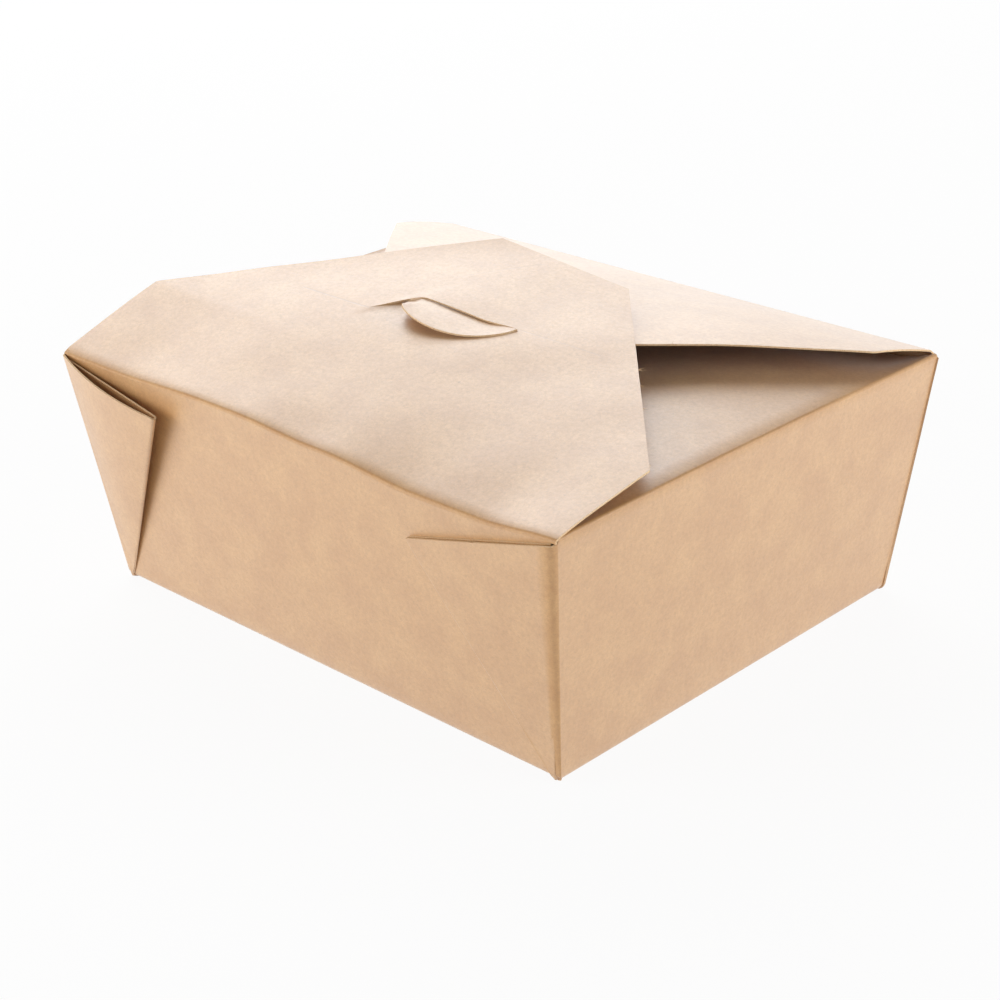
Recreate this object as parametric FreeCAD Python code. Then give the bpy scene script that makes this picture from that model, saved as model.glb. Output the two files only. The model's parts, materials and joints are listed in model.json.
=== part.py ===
import FreeCAD, Part
import math
import os

from FreeCAD import Vector

# Kraft board takeaway box with four top flaps, closed by a tongue through a slit.
# The origin is the middle of the base's underside, X runs along the long sides.

# Sizes of the open tray, over the outside of the board
board = 0.45
top_length = 172.0
top_width = 144.0
tray_height = 65.5
length_taper = 7.0
width_taper = 8.5
corner_bend = 2.2
base_bend = 1.7
bend_facets = 4

# Folded corner webs, two layers each, on the outside of the long walls
web_edge = 64.0
web_fold_angle = 41.7
web_rim_drop = 1.3
web_layer_gap = 0.15
loose_web_angle = 6.0
loose_web_fold_angle = 36.5
loose_web_edge = 70.0
loose_layer_gap = 0.9

# Side flaps, folded in first and dipping into the tray
side_flap_depth = 66.0
side_flap_root_inset = 3.0
side_flap_end_inset = 6.0
side_flap_dip = 1.0

# Front flap: how far its edges lie inside the tray's length, its depths and its bow
hinge_gap = 0.3
front_root_inset = 0.5
front_wide_inset = 1.0
front_wide_depth = 31.0
front_tip_half = 22.0
front_depth = 98.5
front_slope = 0.31
front_bow_radius = 362.0
front_twist_length = 2000.0

# Back flap and the half-width of its tongue
back_root_inset = 2.7
back_wide_inset = 3.5
back_wide_depth = 24.0
back_bow_radius = 250.0
tongue_half = 19.5

# Slit of the front flap, its two lips, and how the tongue lies in it
slit_depth = 60.0
slit_side_clearance = 3.5
slit_gap = 2.2
far_lip_rise = 3.8
near_lip_drop = 1.3
lip_reach = 9.0
tongue_sink = 0.5
tongue_reach = 9.0
tongue_side_length = 4.0
tongue_lift_length = 18.5
tongue_lift = 3.0
shoulder_setback = 14.0

# Spacing of the points that the curved sheets are drawn through
sheet_step = 4.0

half_length = top_length / 2
half_width = top_width / 2
web_pack = 2 * board + web_layer_gap
wall_slope = math.atan2(width_taper, tray_height)
slit_half = tongue_half + slit_side_clearance
slit_from_back = top_width - slit_depth


def rounded_rectangle(half_x, half_y, radius, z):
    """A closed wire with four round corners at one height."""
    inner_x = half_x - radius
    inner_y = half_y - radius
    edges = []
    for turn in range(4):
        angle = math.radians(90 * turn)
        sign_x = 1 if turn in (0, 3) else -1
        sign_y = 1 if turn in (0, 1) else -1
        centre = Vector(sign_x * inner_x, sign_y * inner_y, z)
        start, middle, end = (
            centre + Vector(radius * math.cos(angle + step), radius * math.sin(angle + step), 0)
            for step in (0, math.pi / 4, math.pi / 2)
        )
        edges.append((start, Part.Arc(start, middle, end).toShape(), end))
    outline = []
    for index, (start, arc, end) in enumerate(edges):
        following = edges[(index + 1) % 4][0]
        outline.append(arc)
        outline.append(Part.makeLine(end, following))
    return Part.Wire(outline)


def tapered_body(inset, bottom, top, extra_width=0.0):
    """The tray's outer form, moved inwards by a board thickness, with a rounded foot."""
    inset_x = inset / math.cos(math.atan2(length_taper, tray_height))
    inset_y = inset / math.cos(wall_slope)
    radius = corner_bend - inset
    foot = base_bend - inset
    sections = []
    heights = []
    for facet in range(bend_facets + 1):
        angle = math.pi / 2 * facet / bend_facets
        heights.append((bottom + foot * (1 - math.cos(angle)), foot * (1 - math.sin(angle))))
    heights.append((top, 0.0))
    for z, drawn_in in heights:
        share = z / tray_height
        half_x = half_length - length_taper * (1 - share) - inset_x - drawn_in
        half_y = half_width - width_taper * (1 - share) - inset_y - drawn_in + extra_width
        sections.append(rounded_rectangle(half_x, half_y, radius, z))
    return Part.makeLoft(sections, True, True)


def corner_frame(sign_x, sign_y):
    """Directions on a long wall at one corner: inwards along it, up its edge, and outwards."""
    foot = Vector(sign_x * (half_length - length_taper), sign_y * (half_width - width_taper), 0)
    rim = Vector(sign_x * half_length, sign_y * half_width, tray_height)
    up = (rim - foot).normalize()
    outward = Vector(0, sign_y * tray_height, -width_taper).normalize()
    inward = up.cross(outward)
    if inward.x * sign_x > 0:
        inward = inward * -1
    return foot, up, inward.normalize(), outward, (rim - foot).Length


def plate(points, low, thickness, frame):
    """A flat plate with corners at (along, up) on a wall, from one depth outwards."""
    foot, up, inward, outward = frame
    corners = [foot + inward * s + up * t + outward * low for s, t in points]
    return Part.Face(Part.makePolygon(corners + corners[:1])).extrude(outward * thickness)


def folded_web(sign_x, sign_y, swing, fold_angle, fold_edge, layer_gap):
    """A web corner folded in two, swung out from the wall about the corner edge."""
    foot, up, inward, outward, edge_length = corner_frame(sign_x, sign_y)
    angle = math.radians(fold_angle)
    pack = 2 * board + layer_gap
    tip = (fold_edge * math.sin(angle), fold_edge * math.cos(angle))
    lean = math.radians(swing)
    swung_inward = inward * math.cos(lean) + outward * math.sin(lean)
    swung_outward = outward * math.cos(lean) - inward * math.sin(lean)
    frame = (foot, up, swung_inward, swung_outward)
    overlap = board / 2
    rim_point = (0.0, edge_length - web_rim_drop)
    body = plate([(-corner_bend, 0), (0, 0), tip, rim_point, (-corner_bend, rim_point[1])],
                 -overlap, pack + overlap, frame)
    # The fold itself is a round edge as thick as the two layers
    fold_way = (swung_inward * tip[0] + up * tip[1]).normalize()
    fold_axis = foot + swung_outward * (pack / 2)
    fold = Part.makeCylinder(pack / 2, fold_edge, fold_axis, fold_way)
    body = body.fuse(fold)
    # Air between the layers, open along the raw top edge
    to_fold = (math.cos(angle), -math.sin(angle))
    back_off = 2.5 * board
    start = board * 2
    lowest = (start + back_off * to_fold[0]) / math.tan(angle) + back_off * -to_fold[1]
    past = 1.15
    far = (tip[0] * past - back_off * to_fold[0], tip[1] * past - back_off * to_fold[1])
    gap = plate([(start, lowest), far, (start, edge_length + past)], board, layer_gap, frame)
    body = body.cut(gap)
    limit = tapered_body(0.0, 0.0, tray_height, web_pack if swing == 0 else top_width / 4)
    return body.common(limit)


def side_flap(sign_x):
    """A flap hinged on a short wall by its own fold, dipping into the tray."""
    dip = math.radians(side_flap_dip)
    inward = Vector(-sign_x * math.cos(dip), 0, -math.sin(dip))
    upward = Vector(-sign_x * math.sin(dip), 0, math.cos(dip))
    root = Vector(sign_x * half_length, 0, tray_height - board)
    root_half = half_width - side_flap_root_inset
    end_half = half_width - side_flap_end_inset
    points = [(0, -root_half), (side_flap_depth, -end_half),
              (side_flap_depth, end_half), (0, root_half)]
    corners = [root + inward * reach + Vector(0, across, 0) for reach, across in points]
    sheet = Part.Face(Part.makePolygon(corners + corners[:1])).extrude(upward * board)
    fold_start = Vector(sign_x * (half_length - board), -root_half, tray_height - board)
    fold = Part.makeCylinder(board, 2 * root_half, fold_start, Vector(0, 1, 0))
    return sheet.fuse(fold)


def make_tray():
    """Base, walls, webs and side flaps of one folded sheet."""
    outside = tapered_body(0.0, 0.0, tray_height)
    inside = tapered_body(board, board, tray_height + 1)
    tray = outside.cut(inside)
    # The long walls stop short of the flaps that fold over them
    relief = Part.makeBox(top_length, width_taper, hinge_gap)
    for sign_y in (-1, 1):
        strip = relief.copy()
        strip.translate(Vector(-half_length, sign_y * half_width - width_taper / 2,
                               tray_height - hinge_gap))
        tray = tray.cut(strip)
    webs = [folded_web(sign_x, sign_y, 0.0, web_fold_angle, web_edge, web_layer_gap)
            for sign_x, sign_y in ((1, -1), (1, 1), (-1, 1))]
    webs.append(folded_web(-1, -1, loose_web_angle, loose_web_fold_angle,
                           loose_web_edge, loose_layer_gap))
    flaps = [side_flap(sign_x) for sign_x in (-1, 1)]
    return tray.multiFuse(webs + flaps).removeSplitter()


def stations(low, high, step):
    """Evenly spaced values that end on both limits."""
    count = max(3, int(math.ceil((high - low) / step)))
    return [low + (high - low) * index / count for index in range(count + 1)]


def clamped_knots(poles, degree):
    """Knot values and counts of a smooth curve that starts and ends on its outer poles."""
    spans = poles - degree
    return [degree + 1] + [1] * (spans - 1) + [degree + 1], list(range(spans + 1))


def curved_sheet(height_at, across, along):
    """A board-thick sheet whose underside follows a height formula."""
    poles = [[Vector(x, y, height_at(x, y)) for y in along] for x in across]
    degree = 3
    across_counts, across_knots = clamped_knots(len(across), degree)
    along_counts, along_knots = clamped_knots(len(along), degree)
    surface = Part.BSplineSurface()
    surface.buildFromPolesMultsKnots(poles, across_counts, along_counts, across_knots, along_knots,
                                     False, False, degree, degree)
    return surface.toShape().extrude(Vector(0, 0, board))


def column(corners):
    """An upright prism, tall enough to cut any flap."""
    points = [Vector(x, y, 0) for x, y in corners]
    return Part.Face(Part.makePolygon(points + points[:1])).extrude(Vector(0, 0, 3 * tray_height))


def front_bow(depth):
    """Height of the front flap's underside over the rim along its middle."""
    return front_slope * depth - depth * depth / (2 * front_bow_radius)


def front_height(x, depth):
    """The same anywhere on the flap, raised and lowered at the slit's lips."""
    side = max(-1.0, min(1.0, (depth - slit_depth) / (slit_gap / 2)))
    lift = far_lip_rise * (1 + side) / 2 - near_lip_drop * (1 - side) / 2
    across = max(0.0, 1 - (x / slit_half) ** 4)
    away = max(0.0, abs(depth - slit_depth) - slit_gap / 2) / lip_reach
    twist = x * depth / front_twist_length
    return front_bow(depth) - twist + lift * across * across * math.exp(-away * away)


def make_front_flap():
    """The outer flap: a bowed hexagon with a slit across it."""
    hinge_y = -half_width
    slit_y = hinge_y + slit_depth
    root_half = half_length - front_root_inset
    wide_half = half_length - front_wide_inset
    wide_y = hinge_y + front_wide_depth
    tip_y = hinge_y + front_depth
    widest = half_length + sheet_step
    across = stations(-widest, widest, sheet_step)
    along = stations(hinge_y, slit_y - slit_gap, sheet_step)
    along += [slit_y - slit_gap / 2, slit_y, slit_y + slit_gap / 2]
    along += stations(slit_y + slit_gap, tip_y + sheet_step, sheet_step)
    sheet = curved_sheet(lambda x, y: tray_height + front_height(x, y - hinge_y), across, along)
    outline = column([(-root_half, hinge_y + hinge_gap), (root_half, hinge_y + hinge_gap),
                      (wide_half, wide_y), (front_tip_half, tip_y),
                      (-front_tip_half, tip_y), (-wide_half, wide_y)])
    slit = column([(-slit_half, slit_y - slit_gap / 2), (slit_half, slit_y - slit_gap / 2),
                   (slit_half, slit_y + slit_gap / 2), (-slit_half, slit_y + slit_gap / 2)])
    return sheet.common(outline).cut(slit)


def back_height(depth):
    """Height of the back flap's underside, so sloped that the tongue meets the slit."""
    at_slit = front_bow(slit_depth) - tongue_sink
    slope = at_slit / slit_from_back + slit_from_back / (2 * back_bow_radius)
    lift_share = max(0.0, depth - slit_from_back - tongue_reach + tongue_lift_length) / tongue_lift_length
    return slope * depth - depth * depth / (2 * back_bow_radius) + tongue_lift * lift_share ** 2


def make_back_flap():
    """The inner flap: an arched hexagon that narrows to a tongue."""
    hinge_y = half_width
    tongue_depth = slit_from_back + tongue_reach
    shoulder_depth = slit_from_back - shoulder_setback
    widest = half_length + sheet_step
    sheet = curved_sheet(lambda x, y: tray_height + back_height(hinge_y - y),
                         stations(-widest, widest, 2 * sheet_step),
                         stations(hinge_y - tongue_depth - sheet_step, hinge_y, sheet_step))
    corners = [(back_root_inset - half_length, hinge_gap),
               (back_wide_inset - half_length, back_wide_depth),
               (-2 * tongue_half, shoulder_depth),
               (-tongue_half, shoulder_depth + tongue_side_length),
               (-tongue_half, slit_from_back - tongue_side_length)]
    outline = [Vector(x, hinge_y - depth, 0) for x, depth in corners]
    mirrored = [Vector(-point.x, point.y, 0) for point in reversed(outline)]
    tip = Vector(0, hinge_y - tongue_depth, 0)
    edges = [Part.makeLine(first, second) for first, second in zip(outline, outline[1:])]
    edges.append(Part.Arc(outline[-1], tip, mirrored[0]).toShape())
    edges += [Part.makeLine(first, second) for first, second in zip(mirrored, mirrored[1:])]
    edges.append(Part.makeLine(mirrored[-1], outline[0]))
    cutter = Part.Face(Part.Wire(edges)).extrude(Vector(0, 0, 3 * tray_height))
    return sheet.common(cutter)


def single_solid(shape, name):
    """The one solid of a node, with its size printed."""
    print(name, "solids", len(shape.Solids), "valid", shape.isValid(), "volume", round(shape.Volume, 1))
    return shape.Solids[0] if len(shape.Solids) == 1 else shape


os.makedirs("parts", exist_ok=True)
nodes = {"tray": make_tray(), "front_flap": make_front_flap(), "back_flap": make_back_flap()}
for name, shape in nodes.items():
    single_solid(shape, name).exportStep(os.path.join("parts", name + ".step"))
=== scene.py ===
import json
import math
import random

import bpy
import bmesh
from mathutils import Matrix, Vector, noise


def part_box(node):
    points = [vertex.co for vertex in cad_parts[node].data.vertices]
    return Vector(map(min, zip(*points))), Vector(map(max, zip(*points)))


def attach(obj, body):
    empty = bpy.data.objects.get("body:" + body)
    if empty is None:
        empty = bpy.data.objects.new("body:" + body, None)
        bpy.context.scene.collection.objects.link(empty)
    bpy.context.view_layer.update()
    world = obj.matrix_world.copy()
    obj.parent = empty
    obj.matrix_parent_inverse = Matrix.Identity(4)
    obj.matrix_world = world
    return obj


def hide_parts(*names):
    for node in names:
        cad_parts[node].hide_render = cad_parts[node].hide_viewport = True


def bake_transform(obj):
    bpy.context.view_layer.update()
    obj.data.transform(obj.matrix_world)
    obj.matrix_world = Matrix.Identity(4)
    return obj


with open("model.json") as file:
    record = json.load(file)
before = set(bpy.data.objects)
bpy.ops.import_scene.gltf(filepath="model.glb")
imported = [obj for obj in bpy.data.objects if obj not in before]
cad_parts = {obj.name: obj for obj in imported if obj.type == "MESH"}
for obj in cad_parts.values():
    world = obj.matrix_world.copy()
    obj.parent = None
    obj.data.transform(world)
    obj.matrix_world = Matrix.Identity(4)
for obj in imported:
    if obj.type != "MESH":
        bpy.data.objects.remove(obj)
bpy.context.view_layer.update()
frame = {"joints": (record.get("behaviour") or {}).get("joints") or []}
mm = 0.001
hinges = {joint["child"]: Vector(joint["pos_m"]) / mm for joint in frame["joints"]}
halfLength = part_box("tray")[1].x / mm  # half of the open top along the long walls
halfWidth = hinges["back_flap"].y  # and half of it across them
rimHeight = hinges["front_flap"].z
random.seed(7)
print("frame loaded, open top", round(2 * halfLength), "by", round(2 * halfWidth), "mm")


# Board mesh

board = {
    "thickness": 0.45,
    "lengthTaper": 7.0,  # how far each end wall leans out from foot to rim
    "widthTaper": 8.5,  # the same for the long walls
    "footRadius": 1.7,
    "foldRadius": 0.8,  # outside radius of a creased fold
    "foldStrip": 0.3,  # strip of wall that turns with a closing flap
    "foldRows": 8,
    "firstRow": 2.0,  # a flap's own rows start this far from its hinge
    "foldWearAndShade": (0.1, 0.3, 0.6, 0.8, 0.9, 0.9, 0.8, 0.7, 0.5),  # roughened most where it is bent most, and darkened there with painted shade
    "blendHeight": 0.9,  # the sheet bends within this height around the rim
    "blendReach": 1.2,  # and within this reach of the hinge
    "sharpAngle": 42,  # degrees, steeper joins of faces keep a hard edge
    "mergeDistance": 0.004,
    "sliverLength": 0.002,
}
tuft = {  # pulp fibres that stand out of a torn spot in a cut edge
    "radius": 0.09,
    "steps": 5,
    "sides": 3,
    "taper": 0.8,
    "scatter": 0.5,
    "shortest": 0.6,
    "upperFirst": 0.001,  # of points over each other, the upper one carries the fibres
}


def smoothStep(low, high, value):
    share = max(0.0, min(1.0, (value - low) / (high - low)))
    return share * share * (3 - 2 * share)


def hump(span, value):  # up from 0 to 1 between the first two values, down between the last two
    riseFrom, riseTo, fallFrom, fallTo = span
    return smoothStep(riseFrom, riseTo, value) * (1 - smoothStep(fallFrom, fallTo, value))


def spread(low, high, count):  # evenly spaced values, both ends included
    return [low + (high - low) * index / count for index in range(count + 1)]


def waviness(point, size, seed=0.0):  # slow unevenness of the sheet, from -1 to 1
    return noise.noise(Vector((point.x / size, point.y / size, point.z / size + seed)))


def placeKey(point):  # points of one place share a key
    return (round(point.x, 4), round(point.y, 4), round(point.z, 4))


def scattered():
    return Vector([random.uniform(-tuft["scatter"], tuft["scatter"]) for _ in range(3)])


def addStrand(root, lean, length, points, faces):
    way = (Vector(lean) + scattered()).normalized()
    side = way.orthogonal().normalized()
    bend = scattered()
    reach = length * random.uniform(tuft["shortest"], 1.0)
    sides = tuft["sides"]
    first = len(points)
    for share in spread(0.0, 1.0, tuft["steps"]):
        centre = root + way * (reach * share) + bend * (reach * share * share)
        width = tuft["radius"] * (1 - tuft["taper"] * share)
        for corner in range(sides):
            turned = Matrix.Rotation(corner * 2 * math.pi / sides, 3, way) @ side
            points.append((centre + turned * width) * mm)
    for ring in range(first, first + sides * tuft["steps"], sides):
        for corner in range(sides):
            after = (corner + 1) % sides
            faces.append([ring + corner, ring + after, ring + sides + after, ring + sides + corner])


def addTufts(rows, tufts, points, faces):
    spots = [point for row in rows for point in row]
    for x, y, strands, length, lean in tufts:
        spot = Vector((x, y, 0))
        root = min(spots, key=lambda point: (point - spot).xy.length_squared - tuft["upperFirst"] * point.z)
        for _ in range(strands):
            addStrand(root, lean, length, points, faces)


def outerNormals(rows, rings):  # summed over the faces that meet at one place
    normals = {}
    for ring in rings:
        a, b, c, d = (rows[j][k] for j, k in ring)
        facing = (c - a).cross(d - b)
        for j, k in ring:
            key = placeKey(rows[j][k])
            normals.setdefault(key, Vector())
            normals[key] += facing
    return normals


def makeBoard(name, rows, materials, present=None, cyclic=False, wearAndShade=None, goesOn=None, tufts=()):
    # Rows hold points of the sheet's outer face, the inner face lies one thickness behind it
    columns = len(rows[0])
    rings = []
    for j in range(len(rows) - 1):
        for k in range(columns if cyclic else columns - 1):
            if present is None or present(j, k):
                after = (k + 1) % columns
                rings.append([(j, k), (j, after), (j + 1, after), (j + 1, k)])
    normals = outerNormals(rows, rings)
    points = []
    wornAndShaded = []  # how much a crease has roughened the board and darkened it with painted shade, per point
    numbers = {}

    def vertex(cell, inner):
        if (cell, inner) not in numbers:
            point = rows[cell[0]][cell[1]]
            depth = board["thickness"] if inner else 0.0
            numbers[(cell, inner)] = len(points)
            behind = point - normals[placeKey(point)].normalized() * depth
            behind.z = max(0.0, behind.z)  # nothing sinks into the ground
            points.append(behind * mm)
            wornAndShaded.append(wearAndShade(*cell) if wearAndShade else 0.0)
        return numbers[(cell, inner)]

    faces = []
    finish = []
    openEdges = {}
    for ring in rings:
        faces.append([vertex(cell, False) for cell in ring])
        faces.append([vertex(cell, True) for cell in reversed(ring)])
        finish += [0, 0]
        for first, second in zip(ring, ring[1:] + ring[:1]):
            if (second, first) in openEdges:
                del openEdges[(second, first)]
            else:
                openEdges[(first, second)] = True
    for first, second in openEdges:
        faces.append([vertex(second, False), vertex(first, False),
                      vertex(first, True), vertex(second, True)])
        finish.append(0 if goesOn and goesOn(*first) and goesOn(*second) else 1)
    addTufts(rows, tufts, points, faces)
    finish += [1] * (len(faces) - len(finish))
    wornAndShaded += [0.0] * (len(points) - len(wornAndShaded))
    mesh = bpy.data.meshes.new(name)
    mesh.from_pydata(points, [], faces)
    mesh.polygons.foreach_set("material_index", finish)
    mesh.attributes.new("foldWearAndShade", "FLOAT", "POINT").data.foreach_set("value", wornAndShaded)
    for material in materials:
        mesh.materials.append(material)
    joinPoints(mesh)
    keepRestPlaces(mesh)
    mesh.shade_smooth()
    mesh.set_sharp_from_angle(angle=math.radians(board["sharpAngle"]))
    piece = bpy.data.objects.new(name, mesh)
    bpy.context.scene.collection.objects.link(piece)
    return piece


def joinPoints(mesh):
    joined = bmesh.new()
    joined.from_mesh(mesh)
    bmesh.ops.remove_doubles(joined, verts=joined.verts, dist=board["mergeDistance"] * mm)
    bmesh.ops.dissolve_degenerate(joined, edges=joined.edges, dist=board["sliverLength"] * mm)
    joined.to_mesh(mesh)
    joined.free()


def keepRestPlaces(mesh):  # the finishes read these, so that they stay on the board in every pose
    places = mesh.attributes.new("restPlace", "FLOAT_VECTOR", "POINT")
    places.data.foreach_set("vector", [value for vertex in mesh.vertices for value in vertex.co])


# Finishes

kraft = {
    "face": "#c89351",
    "pale": "#d4a260",
    "dark": "#b27c3e",
    "fibre": "#8c5a2b",
    "cut": "#e8cca6",  # the raw core that a die cut shows
    # the pressed score lines take this colour, and so does the painted shade on the folds
    "scoreAndFoldShade": "#a87b52",
    "cloudTone": 1.0,  # how far each pattern goes to its own colour
    "mottleTone": 0.3,
    "fibreTone": 0.42,
    "speckTone": 0.35,
    # how dark the folds get: wear and painted shade
    "wearAndShadeTone": 0.3,
    "cutTone": 0.5,
    "fibreHeight": 0.014,
    "mottleRelief": 0.7,  # shares of the fibres' height
    "scoreRelief": 6,
    "scoreWidth": 0.35,
    "fibreWay": (0.8, 0.8, 1.15),  # fibres lie level along the walls, as the paper machine laid them
    "roughness": (0.41, 0.56),  # outside and inside the mottles
    "wearRoughness": 0.3,
    "wearDulls": 0.8,
    "gloss": 0.9,
    "sheen": 0.3,
    "sheenRoughness": 0.4,
    "coat": 1.0,
    "coatRoughness": 0.46,
    "coatIndex": 2.0,  # above paper's own 1.5, for the broad shine on a face seen at a low angle
    "cutRoughness": 0.9,
    "cutGloss": 0.2,
}
# Patterns of the pulp: size in mm, and the noise where each starts and is full.
# Real fibres are about 0.03 mm thick. They are drawn as coarse as they need to be to show.
pulp = {
    "cloud": {"size": 9.0, "starts": 0.35, "full": 0.65, "detail": 3.0, "curl": 0.0},
    "mottle": {"size": 1.1, "starts": 0.38, "full": 0.66, "detail": 4.0, "curl": 0.0},
    "fibre": {"size": 0.5, "starts": 0.42, "full": 0.75, "detail": 5.0, "curl": 1.5},
    "speck": {"size": 1.3, "starts": 0.7, "full": 0.78, "detail": 2.0, "curl": 0.0},
    "core": {"size": 0.35, "starts": 0.35, "full": 0.7, "detail": 4.0, "curl": 0.0},
}


def linear(hexColour):
    channels = [int(hexColour[index:index + 2], 16) / 255 for index in (1, 3, 5)]
    return [c / 12.92 if c <= 0.04045 else ((c + 0.055) / 1.055) ** 2.4 for c in channels] + [1.0]


def addNode(tree, kind, settings=None):  # a setting that is another node's output becomes a link
    node = tree.nodes.new(kind)
    for key, value in (settings or {}).items():
        if isinstance(value, bpy.types.NodeSocket):
            tree.links.new(value, node.inputs[key])
        elif isinstance(key, int) or key in node.inputs:
            node.inputs[key].default_value = value
        else:
            setattr(node, key, value)
    return node


def newFinish(name):
    material = bpy.data.materials.new(name)
    material.use_nodes = True
    material.node_tree.nodes.clear()
    return material, material.node_tree


def patches(tree, place, pattern):  # 0 to 1, in patches about as wide as the pattern's size
    noisy = addNode(tree, "ShaderNodeTexNoise", {
        "Vector": place,
        "Scale": 1 / (pattern["size"] * mm),
        "Detail": pattern["detail"],
        "Roughness": 0.6,
        "Distortion": pattern["curl"],
    })
    return addNode(tree, "ShaderNodeMapRange", {
        "Value": noisy.outputs["Fac"],
        "From Min": pattern["starts"],
        "From Max": pattern["full"],
    }).outputs["Result"]


def scoreMask(tree, place, start, end):  # 1 along a line on the flap, seen from above
    way = Vector((end[0] - start[0], end[1] - start[1], 0)) * mm
    origin = Vector((start[0], start[1], 0)) * mm
    flat = addNode(tree, "ShaderNodeVectorMath", {
        "operation": "MULTIPLY",
        0: place,
        1: (1, 1, 0),
    }).outputs[0]
    offset = addNode(tree, "ShaderNodeVectorMath", {
        "operation": "SUBTRACT",
        0: flat,
        1: origin,
    }).outputs[0]
    along = addNode(tree, "ShaderNodeVectorMath", {"operation": "DOT_PRODUCT", 0: offset, 1: way})
    share = addNode(tree, "ShaderNodeMath", {
        "operation": "DIVIDE",
        0: along.outputs["Value"],
        1: way.length_squared,
        "use_clamp": True,
    }).outputs[0]
    nearest = addNode(tree, "ShaderNodeVectorMath", {
        "operation": "SCALE",
        0: way,
        "Scale": share,
    }).outputs[0]
    gap = addNode(tree, "ShaderNodeVectorMath", {"operation": "DISTANCE", 0: offset, 1: nearest})
    return addNode(tree, "ShaderNodeMapRange", {
        "Value": gap.outputs["Value"],
        "From Max": kraft["scoreWidth"] * mm,
        "To Min": 1.0,
        "To Max": 0.0,
    }).outputs["Result"]


def toned(tree, colour, mask, strength, tone):  # goes to the tone where the mask is 1
    amount = addNode(tree, "ShaderNodeMath", {"operation": "MULTIPLY", 0: mask, 1: strength})
    return addNode(tree, "ShaderNodeMix", {
        "data_type": "RGBA",
        0: amount.outputs[0],
        6: colour,
        7: linear(tone),
    }).outputs[2]


def kraftFace(name, scores=()):  # unbleached pulp board, calendered: mottled tan with a low sheen; its folds are darkened by wear and painted shade
    material, tree = newFinish(name)
    place = addNode(tree, "ShaderNodeAttribute", {"attribute_name": "restPlace"}).outputs["Vector"]
    wornAndShaded = addNode(tree, "ShaderNodeAttribute", {"attribute_name": "foldWearAndShade"}).outputs["Fac"]
    layer = addNode(tree, "ShaderNodeMapping", {"Vector": place, "Scale": kraft["fibreWay"]})
    cloud = patches(tree, place, pulp["cloud"])
    mottle = patches(tree, place, pulp["mottle"])
    fibre = patches(tree, layer.outputs[0], pulp["fibre"])
    speck = patches(tree, place, pulp["speck"])
    colour = toned(tree, linear(kraft["face"]), cloud, kraft["cloudTone"], kraft["pale"])
    colour = toned(tree, colour, mottle, kraft["mottleTone"], kraft["dark"])
    colour = toned(tree, colour, fibre, kraft["fibreTone"], kraft["fibre"])
    colour = toned(tree, colour, speck, kraft["speckTone"], kraft["fibre"])
    # folds go towards the score colour: partly wear, partly painted shade standing in for the shade in the
    # bends
    colour = toned(tree, colour, wornAndShaded, kraft["wearAndShadeTone"], kraft["scoreAndFoldShade"])
    relief = addNode(tree, "ShaderNodeMath", {
        "operation": "MULTIPLY_ADD",
        0: mottle,
        1: kraft["mottleRelief"],
        2: fibre,
    })
    for start, end, strength in scores:
        mask = scoreMask(tree, place, start, end)
        colour = toned(tree, colour, mask, strength, kraft["scoreAndFoldShade"])
        relief = addNode(tree, "ShaderNodeMath", {
            "operation": "MULTIPLY_ADD",
            0: mask,
            1: -kraft["scoreRelief"] * strength,
            2: relief.outputs[0],
        })
    bump = addNode(tree, "ShaderNodeBump", {
        "Strength": 1.0,
        "Distance": kraft["fibreHeight"] * mm,
        "Height": relief.outputs[0],
    })
    fresh = addNode(tree, "ShaderNodeMapRange", {
        "Value": mottle,
        "To Min": kraft["roughness"][0],
        "To Max": kraft["roughness"][1],
    })
    rough = addNode(tree, "ShaderNodeMath", {
        "operation": "MULTIPLY_ADD",
        0: wornAndShaded,
        1: kraft["wearRoughness"],
        2: fresh.outputs["Result"],
    })
    smooth = addNode(tree, "ShaderNodeMath", {
        "operation": "MULTIPLY_ADD",
        0: wornAndShaded,
        1: -kraft["wearDulls"],
        2: 1.0,
    }).outputs[0]
    gloss = addNode(tree, "ShaderNodeMath", {"operation": "MULTIPLY", 0: smooth, 1: kraft["gloss"]})
    coat = addNode(tree, "ShaderNodeMath", {"operation": "MULTIPLY", 0: smooth, 1: kraft["coat"]})
    shader = addNode(tree, "ShaderNodeBsdfPrincipled", {
        "Base Color": colour,
        "Roughness": rough.outputs[0],
        "Normal": bump.outputs["Normal"],
        "Specular IOR Level": gloss.outputs[0],
        "Sheen Weight": kraft["sheen"],
        "Sheen Roughness": kraft["sheenRoughness"],
        "Coat Weight": coat.outputs[0],
        "Coat Roughness": kraft["coatRoughness"],
        "Coat IOR": kraft["coatIndex"],
    })
    addNode(tree, "ShaderNodeOutputMaterial", {"Surface": shader.outputs["BSDF"]})
    return material


def rawEdge():  # die-cut edge: uncalendered core, lighter and rougher than the faces
    material, tree = newFinish("kraftDieCutEdge")
    place = addNode(tree, "ShaderNodeAttribute", {"attribute_name": "restPlace"}).outputs["Vector"]
    core = patches(tree, place, pulp["core"])
    shader = addNode(tree, "ShaderNodeBsdfPrincipled", {
        "Base Color": toned(tree, linear(kraft["cut"]), core, kraft["cutTone"], kraft["dark"]),
        "Roughness": kraft["cutRoughness"],
        "Specular IOR Level": kraft["cutGloss"],
    })
    addNode(tree, "ShaderNodeOutputMaterial", {"Surface": shader.outputs["BSDF"]})
    return material


faceFinish = kraftFace("kraftCalenderedFace")
edgeFinish = rawEdge()
print("finishes made")


# Tray: base, walls, folded webs and side flaps as one folded sheet

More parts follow.
